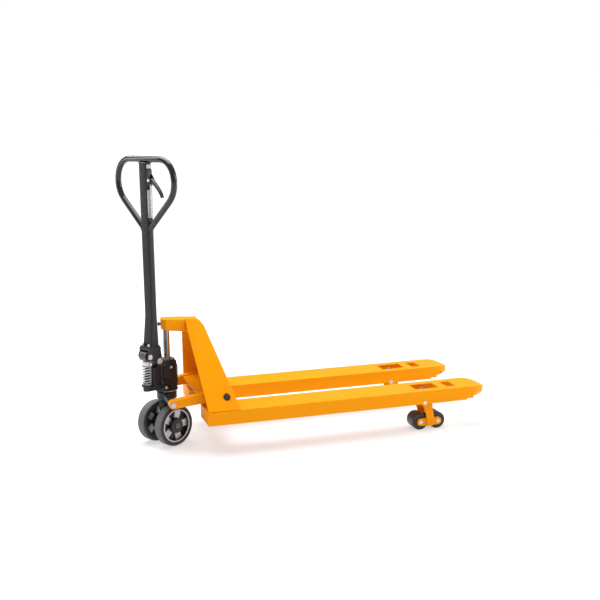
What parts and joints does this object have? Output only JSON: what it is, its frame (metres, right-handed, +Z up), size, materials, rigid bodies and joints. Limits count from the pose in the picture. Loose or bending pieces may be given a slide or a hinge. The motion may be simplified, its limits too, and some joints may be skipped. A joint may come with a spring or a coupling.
{
  "type": "pallet jack",
  "caption": "Hand pallet truck with long forks, a hydraulic lift pump with steered wheels, and a tall tilting loop handle.",
  "frame": {"origin": "middle of the footprint, on the floor under the wheels", "axes": "+X towards the fork tips, +Y to the left fork, +Z up"},
  "size_m": [1.576, 0.55, 1.2402],
  "materials": {
    "orange_paint": "satin paint",
    "graphite_paint": "semi-gloss paint",
    "black_paint": "semi-gloss paint",
    "ram_chrome": "polished",
    "roller_polyurethane": "satin",
    "entry_plastic": "matte",
    "tyre_rubber": "matte",
    "hub_aluminium": "cast, satin",
    "bare_steel": "satin",
    "zinc": "zinc plated"
  },
  "bodies": {
    "chassis": {"fork_left": "orange_paint", "fork_right": "orange_paint", "tower_plate_left": "orange_paint", "tower_plate_right": "orange_paint", "load_plate": "orange_paint", "lift_head": "orange_paint", "head_bolt": "black_paint", "rocker_axle": "black_paint", "fork_pin_left": "zinc", "fork_pin_right": "zinc", "thrust_ball": "bare_steel"},
    "ram": {"lift_ram": "ram_chrome"},
    "pump": {"pump_body": "graphite_paint", "plunger_cylinder": "bare_steel", "steering_fork": "graphite_paint", "thrust_bearing": "bare_steel", "release_valve": "zinc", "gland_nut": "bare_steel", "wheel_axle": "bare_steel", "handle_pivot_pin": "zinc", "plunger_spring": "zinc"},
    "steer_wheel_left": {"steer_tyre_left": "tyre_rubber", "steer_hub_left": "hub_aluminium"},
    "steer_wheel_right": {"steer_tyre_right": "tyre_rubber", "steer_hub_right": "hub_aluminium"},
    "rocker": {"rocker_arm": "orange_paint", "arm_pin_left": "zinc", "arm_pin_right": "zinc"},
    "bracket": {"bearing_bracket": "graphite_paint"},
    "push_rod_left": {"push_rod_left": "bare_steel"},
    "push_rod_right": {"push_rod_right": "bare_steel"},
    "wheel_frame_left": {"wheel_frame_left": "orange_paint"},
    "wheel_frame_right": {"wheel_frame_right": "orange_paint"},
    "bogie_left": {"bogie_plate_left_inner": "orange_paint", "bogie_plate_left_outer": "orange_paint", "roller_pin_left_front": "zinc", "roller_pin_left_rear": "zinc"},
    "bogie_right": {"bogie_plate_right_inner": "orange_paint", "bogie_plate_right_outer": "orange_paint", "roller_pin_right_front": "zinc", "roller_pin_right_rear": "zinc"},
    "load_roller_left_front": {"load_roller_left_front": "roller_polyurethane"},
    "load_roller_left_rear": {"load_roller_left_rear": "roller_polyurethane"},
    "load_roller_right_front": {"load_roller_right_front": "roller_polyurethane"},
    "load_roller_right_rear": {"load_roller_right_rear": "roller_polyurethane"},
    "entry_roller_left": {"entry_roller_left": "entry_plastic"},
    "entry_roller_right": {"entry_roller_right": "entry_plastic"},
    "handle": {"handle_base": "graphite_paint", "handle_tube": "graphite_paint", "handle_loop": "black_paint", "base_bolt_left": "zinc", "base_bolt_right": "zinc", "pressing_roller_pin": "zinc", "lever_bracket": "black_paint", "lever_pin": "zinc"},
    "pressing_roller": {"pressing_roller": "bare_steel"},
    "plunger": {"plunger": "zinc"},
    "release_lever": {"release_lever": "black_paint"},
    "pull_rod": {"pull_rod": "zinc"},
    "valve_lever": {"valve_lever": "zinc"}
  },
  "joints": [
    {"name": "steer", "type": "hinge", "parent": "chassis", "child": "ram", "pos_m": [-0.61703, 0, 0.5], "axis": [0, 0, 1], "range_deg": [-130, 70]},
    {"name": "lift", "type": "slide", "parent": "ram", "child": "pump", "axis": [0, 0, 1], "range_m": [0, 0.11]},
    {"name": "steer_wheel_left_spin", "type": "hinge", "parent": "pump", "child": "steer_wheel_left", "pos_m": [-0.66631, 0.03736, 0.09], "axis": [-0.5, 0.866, 0], "continuous": true},
    {"name": "steer_wheel_right_spin", "type": "hinge", "parent": "pump", "child": "steer_wheel_right", "pos_m": [-0.60931, -0.06136, 0.09], "axis": [-0.5, 0.866, 0], "continuous": true},
    {"name": "rocker_turn", "type": "hinge", "parent": "chassis", "child": "rocker", "pos_m": [-0.41253, 0, 0.241], "axis": [0, 1, 0], "range_deg": [0, 29.4]},
    {"name": "bracket_turn", "type": "hinge", "parent": "rocker", "child": "bracket", "pos_m": [-0.63003, 0, 0.213], "axis": [0, 1, 0], "range_deg": [-29.4, 0]},
    {"name": "push_rod_left_slide", "type": "slide", "parent": "chassis", "child": "push_rod_left", "axis": [1, 0, 0], "range_m": [-0.0451, 0]},
    {"name": "wheel_frame_left_turn", "type": "hinge", "parent": "chassis", "child": "wheel_frame_left", "pos_m": [0.47597, 0.195, 0.136], "axis": [0, 1, 0], "range_deg": [-75.1, 0]},
    {"name": "bogie_left_turn", "type": "hinge", "parent": "wheel_frame_left", "child": "bogie_left", "pos_m": [0.51397, 0.195, 0.037], "axis": [0, 1, 0], "range_deg": [0, 75.1]},
    {"name": "load_roller_left_front_spin", "type": "hinge", "parent": "bogie_left", "child": "load_roller_left_front", "pos_m": [0.55497, 0.195, 0.037], "axis": [0, 1, 0], "continuous": true},
    {"name": "load_roller_left_rear_spin", "type": "hinge", "parent": "bogie_left", "child": "load_roller_left_rear", "pos_m": [0.47297, 0.195, 0.037], "axis": [0, 1, 0], "continuous": true},
    {"name": "entry_roller_left_spin", "type": "hinge", "parent": "chassis", "child": "entry_roller_left", "pos_m": [0.73397, 0.195, 0.159], "axis": [0, 1, 0], "continuous": true},
    {"name": "push_rod_right_slide", "type": "slide", "parent": "chassis", "child": "push_rod_right", "axis": [1, 0, 0], "range_m": [-0.0451, 0]},
    {"name": "wheel_frame_right_turn", "type": "hinge", "parent": "chassis", "child": "wheel_frame_right", "pos_m": [0.47597, -0.195, 0.136], "axis": [0, 1, 0], "range_deg": [-75.1, 0]},
    {"name": "bogie_right_turn", "type": "hinge", "parent": "wheel_frame_right", "child": "bogie_right", "pos_m": [0.51397, -0.195, 0.037], "axis": [0, 1, 0], "range_deg": [0, 75.1]},
    {"name": "load_roller_right_front_spin", "type": "hinge", "parent": "bogie_right", "child": "load_roller_right_front", "pos_m": [0.55497, -0.195, 0.037], "axis": [0, 1, 0], "continuous": true},
    {"name": "load_roller_right_rear_spin", "type": "hinge", "parent": "bogie_right", "child": "load_roller_right_rear", "pos_m": [0.47297, -0.195, 0.037], "axis": [0, 1, 0], "continuous": true},
    {"name": "entry_roller_right_spin", "type": "hinge", "parent": "chassis", "child": "entry_roller_right", "pos_m": [0.73397, -0.195, 0.159], "axis": [0, 1, 0], "continuous": true},
    {"name": "handle_tilt", "type": "hinge", "parent": "pump", "child": "handle", "pos_m": [-0.67419, -0.033, 0.376], "axis": [0.5, -0.866, 0], "range_deg": [0, 56], "stiffness_Nm_per_rad": 40, "springref_deg": -6.88},
    {"name": "plunger_stroke", "type": "slide", "parent": "pump", "child": "plunger", "axis": [0, 0, -1], "range_m": [0, 0.0542], "deforming": ["plunger_spring"]},
    {"name": "pressing_roller_spin", "type": "hinge", "parent": "handle", "child": "pressing_roller", "pos_m": [-0.71835, -0.0585, 0.4015], "axis": [-0.5, 0.866, 0], "continuous": true},
    {"name": "release_lever_turn", "type": "hinge", "parent": "handle", "child": "release_lever", "pos_m": [-0.66608, -0.07104, 1.142], "axis": [-0.866, -0.5, 0], "range_deg": [0, 18], "stiffness_Nm_per_rad": 2, "springref_deg": -11.46},
    {"name": "pull_rod_slide", "type": "slide", "parent": "handle", "child": "pull_rod", "axis": [0, 0, -1], "range_m": [0, 0.00195]},
    {"name": "valve_lever_turn", "type": "hinge", "parent": "pump", "child": "valve_lever", "pos_m": [-0.60814, -0.0474, 0.256], "axis": [-0.5, 0.866, 0], "range_deg": [0, 18.5]}
  ],
  "couplings": [
    {"joint": "rocker_turn", "follows": "lift", "rad_per_m": 4.649},
    {"joint": "bracket_turn", "follows": "lift", "rad_per_m": -4.649},
    {"joint": "push_rod_left_slide", "follows": "lift", "ratio": -0.4082},
    {"joint": "wheel_frame_left_turn", "follows": "lift", "rad_per_m": -11.9},
    {"joint": "bogie_left_turn", "follows": "lift", "rad_per_m": 11.9},
    {"joint": "push_rod_right_slide", "follows": "lift", "ratio": -0.4082},
    {"joint": "wheel_frame_right_turn", "follows": "lift", "rad_per_m": -11.9},
    {"joint": "bogie_right_turn", "follows": "lift", "rad_per_m": 11.9},
    {"joint": "plunger_stroke", "follows": "handle_tilt", "m_per_rad": 0.0553},
    {"joint": "pull_rod_slide", "follows": "release_lever_turn", "m_per_rad": 0.006},
    {"joint": "valve_lever_turn", "follows": "release_lever_turn", "ratio": 1}
  ]
}
